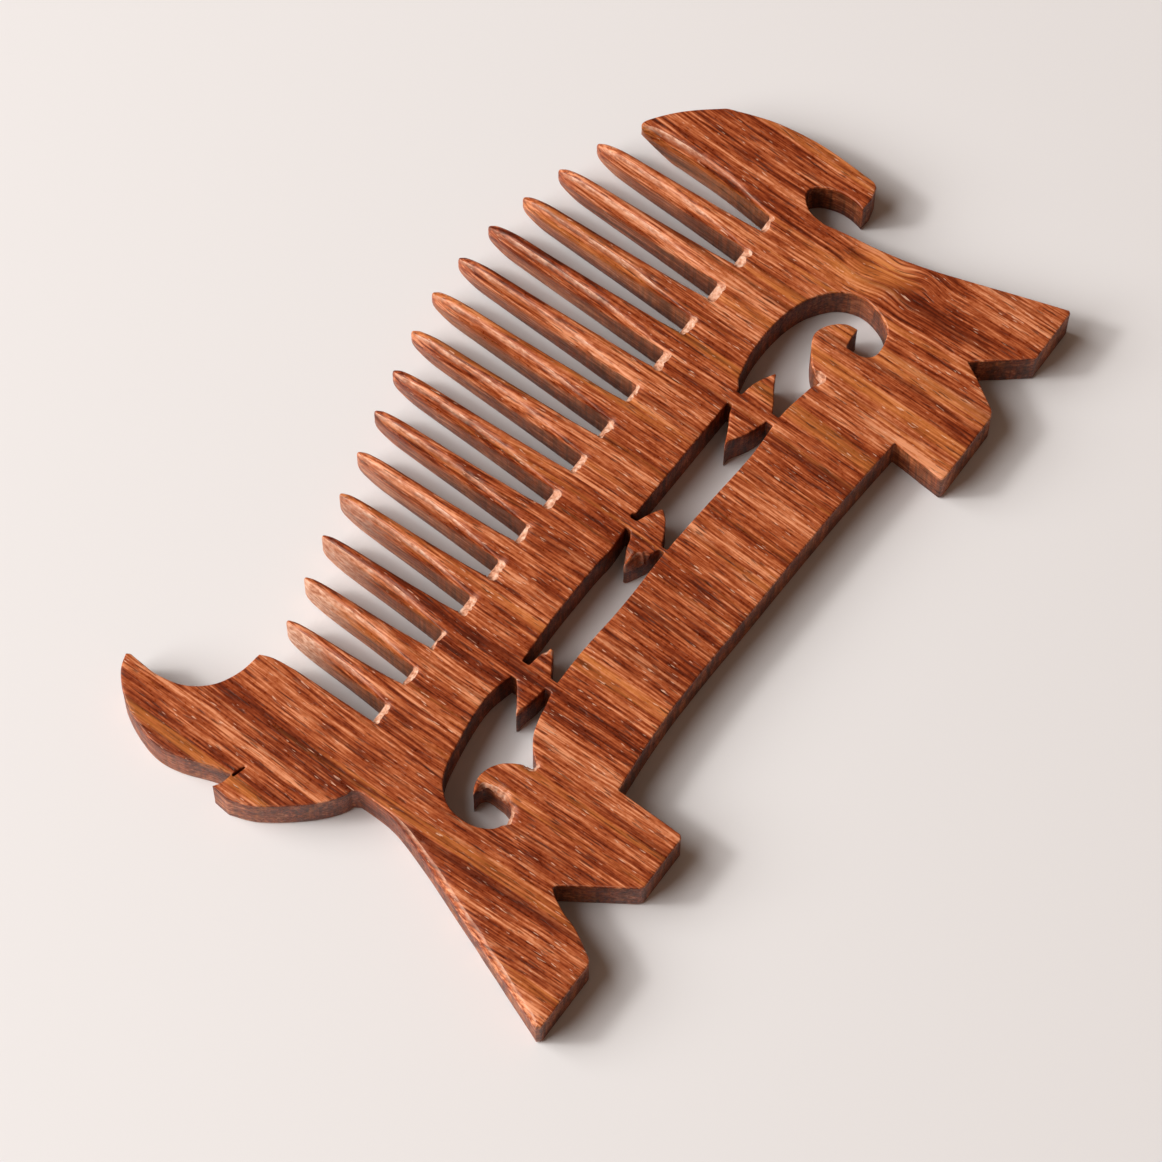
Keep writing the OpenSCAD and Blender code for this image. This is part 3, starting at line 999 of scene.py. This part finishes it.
# -------- wood
class Nodes:
    """Short ways to add shader nodes and wire them."""

    def __init__(self, material):
        self.tree = material.node_tree
        self.tree.nodes.clear()

    def add(self, kind, **settings):
        node = self.tree.nodes.new(kind)
        for key, value in settings.items():
            setattr(node, key, value)
        return node

    def link(self, source, target):
        self.tree.links.new(source, target)

    def put(self, value, socket):
        if isinstance(value, bpy.types.NodeSocket):
            self.link(value, socket)
        else:
            socket.default_value = value

    def maths(self, operation, *values, clamp=False):
        node = self.add("ShaderNodeMath", operation=operation, use_clamp=clamp)
        for value, socket in zip(values, node.inputs):
            self.put(value, socket)
        return node.outputs[0]

    def weighted(self, *terms):
        """The sum of the values of the terms, each times its share."""
        (value, share), *rest = terms
        total = self.maths("MULTIPLY", value, share)
        for value, share in rest:
            total = self.maths("MULTIPLY_ADD", value, share, total)
        return total

    def noise(self, vector, scale, detail, rough, seed):
        """Noise whose lumps are 1 / scale millimetres long on each axis."""
        scaled = self.add("ShaderNodeVectorMath", operation="MULTIPLY")
        self.link(vector, scaled.inputs[0])
        scaled.inputs[1].default_value = scale
        node = self.add("ShaderNodeTexNoise", noise_dimensions="4D")
        self.link(scaled.outputs[0], node.inputs["Vector"])
        set_inputs(node, {"W": seed, "Scale": 1.0, "Detail": detail, "Roughness": rough})
        return node.outputs["Fac"]

    def band(self, value, low, high, to_low=0.0, to_high=1.0):
        node = self.add("ShaderNodeMapRange", interpolation_type="SMOOTHSTEP")
        self.put(value, node.inputs["Value"])
        set_inputs(node, {"From Min": low, "From Max": high, "To Min": to_low, "To Max": to_high})
        return node.outputs["Result"]

    def ramp(self, value, stops):
        node = self.add("ShaderNodeValToRGB")
        self.link(value, node.inputs["Fac"])
        marks = node.color_ramp.elements
        while len(marks) < len(stops):
            marks.new(0.5)
        for mark, (at, colour) in zip(marks, stops):
            mark.position = at
            mark.color = (*colour, 1)
        return node.outputs["Color"]

    def mix(self, share, a, b, blend="MIX"):
        node = self.add("ShaderNodeMix", data_type="RGBA", blend_type=blend)
        self.put(share, node.inputs[0])
        for value, socket in ((a, node.inputs[6]), (b, node.inputs[7])):
            self.put(value if isinstance(value, bpy.types.NodeSocket) else (*value, 1), socket)
        return node.outputs[2]

    def over(self, mask, share, colour, paint):
        """The colour with paint over it where the mask is 1, as strong as its share."""
        return self.mix(self.maths("MULTIPLY", mask, share), colour, paint)

    def attribute(self, name, output="Fac"):
        return self.add("ShaderNodeAttribute", attribute_name=name).outputs[output]


def wood_colour(n, grain, knot):
    """The figure of the planed faces: bands, streaks and fibres along the grain, pores and glints."""
    broad = n.noise(grain, (0.16, 0.008, 0.10), 2, 0.5, 1.0)
    streak = n.noise(grain, (0.60, 0.018, 0.35), 2, 0.6, 2.0)
    fibre = n.noise(grain, (1.70, 0.050, 1.2), 2, 0.6, 3.0)
    fine = n.noise(grain, (3.10, 0.17, 2.4), 1, 0.6, 21.0)
    mottle = n.noise(grain, (2.2, 1.4, 2.2), 1, 0.6, 4.0)
    tone = n.weighted((broad, 0.20), (streak, 0.32), (fibre, 0.26), (fine, 0.34), (mottle, 0.08),
                      (knot, 0.08))
    colour = n.ramp(n.band(tone, 0.465, 0.735), [
        (0.0, (0.070, 0.0080, 0.002)), (0.25, (0.190, 0.027, 0.006)), (0.5, (0.335, 0.068, 0.019)),
        (0.75, (0.510, 0.142, 0.050)), (1.0, (0.800, 0.325, 0.160))])
    gold = n.band(n.noise(grain, (0.42, 0.011, 0.2), 2, 0.55, 8.0), 0.54, 0.66)
    gold = n.maths("MULTIPLY_ADD", knot, 0.95, n.maths("MULTIPLY", gold, 0.52), clamp=True)
    colour = n.over(gold, n.band(fibre, 0.28, 0.58), colour, (0.66, 0.222, 0.050))
    dark = n.band(n.noise(grain, (0.44, 0.011, 0.25), 3, 0.6, 12.0), 0.54, 0.66)
    colour = n.over(dark, 0.50, colour, (0.085, 0.012, 0.004))
    pore = n.band(n.noise(grain, (3.1, 0.30, 3.1), 1, 0.5, 5.0), 0.61, 0.69)
    colour = n.over(pore, 0.62, colour, (0.045, 0.007, 0.002))
    glint = n.band(n.noise(grain, (3.7, 0.52, 3.7), 1, 0.5, 15.0), 0.68, 0.74)
    colour = n.over(glint, 0.62, colour, (0.90, 0.54, 0.36))
    return colour, fibre, mottle, pore, glint


def sawn_and_shaded_colour(n, planed, saw):
    """The walls: drier and paler than the planed faces, with upright saw marks and painted shade."""
    sawn = n.mix(0.22, planed, (0.34, 0.110, 0.036))
    # the multiply darkens and warms every wall: saw marks, and also painted shade
    marks = n.ramp(n.band(saw, 0.32, 0.68, 0.22, 0.76), [(0.0, (0, 0, 0)), (1.0, (1.0, 0.82, 0.68))])
    return n.mix(1.0, sawn, marks, "MULTIPLY")


def wood_shader(n, colour, rough, lift):
    """The gloss and relief of the wood, and the way out of its material."""
    bump = n.add("ShaderNodeBump")
    set_inputs(bump, {"Strength": 0.7, "Distance": 0.00006})
    n.link(lift, bump.inputs["Height"])
    shader = n.add("ShaderNodeBsdfPrincipled")
    set_inputs(shader, {"Specular IOR Level": 0.36, "Specular Tint": (1.0, 0.80, 0.66, 1)})
    n.link(colour, shader.inputs["Base Color"])
    n.link(rough, shader.inputs["Roughness"])
    n.link(bump.outputs["Normal"], shader.inputs["Normal"])
    out = n.add("ShaderNodeOutputMaterial")
    n.link(shader.outputs["BSDF"], out.inputs["Surface"])


def wood_material():
    """The comb's one material, laid out by the attributes of its meshes."""
    mat = bpy.data.materials.new("wood")
    mat.use_nodes = True
    n = Nodes(mat)
    grain = n.attribute("grain", "Vector")
    raw, wall = n.attribute("raw"), n.attribute("wall")
    colour, fibre, mottle, pore, glint = wood_colour(n, grain, n.attribute("knot"))
    saw = n.noise(grain, (1.5, 1.5, 0.10), 2, 0.6, 6.0)
    # sawn walls, darker as sawn wood and as painted shade, less on left-hand walls facing the light
    colour = n.over(wall, 0.9, colour, sawn_and_shaded_colour(n, colour, saw))
    # raw wood: chips, filed slot ends and tips, and also painted light and a painted highlight on the
    # left
    splinters = n.noise(grain, (1.6, 0.8, 1.6), 2, 0.65, 7.0)
    colour = n.mix(raw, colour, n.ramp(splinters, [
        (0.33, (0.38, 0.140, 0.072)), (0.5, (0.66, 0.330, 0.205)), (0.66, (0.84, 0.56, 0.41))]))
    colour = n.mix(1.0, colour, (0.88, 0.87, 0.87), "MULTIPLY")
    # polished faces are glossy; pores, walls and raw wood are duller
    rough = n.band(mottle, 0.3, 0.7, 0.27, 0.38)
    rough = n.maths("MULTIPLY_ADD", pore, 0.12, rough)
    rough = n.maths("MULTIPLY_ADD", wall, 0.18, rough)
    rough = n.maths("MULTIPLY_ADD", raw, 0.25, rough, clamp=True)
    grooves = n.noise(grain, (3.4, 0.30, 3.4), 1, 0.6, 9.0)
    lift = n.weighted((fibre, 0.8), (grooves, 0.6), (pore, -1.0), (glint, -0.8),
                      (n.maths("MULTIPLY", wall, saw), 1.6), (n.maths("MULTIPLY", raw, splinters), 4.0))
    wood_shader(n, colour, rough, lift)
    return mat


def build_comb():
    """Every piece of the comb, each in place of its CAD node."""
    surface = Surface()
    inner = surface.border_faces()
    grain, knot = grain_coordinates(surface.co)
    wood = wood_material()
    for name in sorted(nodes):
        piece = build_piece(surface, name, inner, grain, knot)
        piece.data.materials.append(wood)
        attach(piece, "root")
        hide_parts(name)


# -------- floor, light and camera
FLOOR_HALF = 1.5      # half the floor's width, in metres
FLOOR_GAP = 0.0001    # the floor lies this far below the comb, in metres
LIGHT_AWAY = 2.0      # distance of the lights, in metres
FRAME_PIXELS = 1162   # width of the photograph
FOCAL_PIXELS = 5400   # focal length given to the camera, in the same pixels
SENSOR = 36           # width of the camera's sensor, in millimetres


def floor():
    """A plain pale floor, just below the comb."""
    me = bpy.data.meshes.new("floor")
    corners = [(-1, -1), (1, -1), (1, 1), (-1, 1)]
    me.from_pydata([(x * FLOOR_HALF, y * FLOOR_HALF, 0) for x, y in corners], [], [(0, 1, 2, 3)])
    ob = add_object("floor", me)
    mat = bpy.data.materials.new("floor")
    mat.use_nodes = True
    set_inputs(mat.node_tree.nodes["Principled BSDF"], {
        "Base Color": (0.70, 0.690, 0.686, 1), "Roughness": 0.9, "Specular IOR Level": 0.1})
    me.materials.append(mat)
    ob.location.z = -FLOOR_GAP


def area_light(name, towards, size, power, colour):
    """A round lamp in the given direction, facing the comb."""
    light = bpy.data.lights.new(name, "AREA")
    light.shape = "DISK"
    light.size = size
    light.energy = power
    light.color = colour
    ob = add_object(name, light)
    direction = Vector(towards).normalized()
    ob.location = direction * LIGHT_AWAY
    ob.rotation_euler = direction.to_track_quat("Z", "Y").to_euler()


def lights():
    area_light("key", (-0.60, 0.72, 0.82), 2.1, 60, (1.0, 0.99, 0.985))
    area_light("spot", (-0.56, 0.72, 0.80), 0.35, 14, (1.0, 0.98, 0.96))
    world = bpy.data.worlds.new("studio")
    world.use_nodes = True
    set_inputs(world.node_tree.nodes["Background"], {"Color": (1.0, 0.66, 0.48, 1), "Strength": 0.18})
    bpy.context.scene.world = world


def camera():
    """The camera, at the photograph's viewing angle."""
    cam = bpy.data.cameras.new("camera")
    cam.sensor_width = SENSOR
    cam.lens = FOCAL_PIXELS / FRAME_PIXELS * SENSOR
    cam.clip_start, cam.clip_end = 0.05, 10
    ob = add_object("camera", cam)
    ob.location = (-0.25049, -0.17620, 0.74688)
    ob.rotation_euler = Euler([math.radians(a) for a in (21.7283, -0.2664, -54.0026)], "XYZ")
    bpy.context.scene.camera = ob


build_comb()
floor()
lights()
camera()
bpy.context.scene.view_settings.view_transform = "Standard"
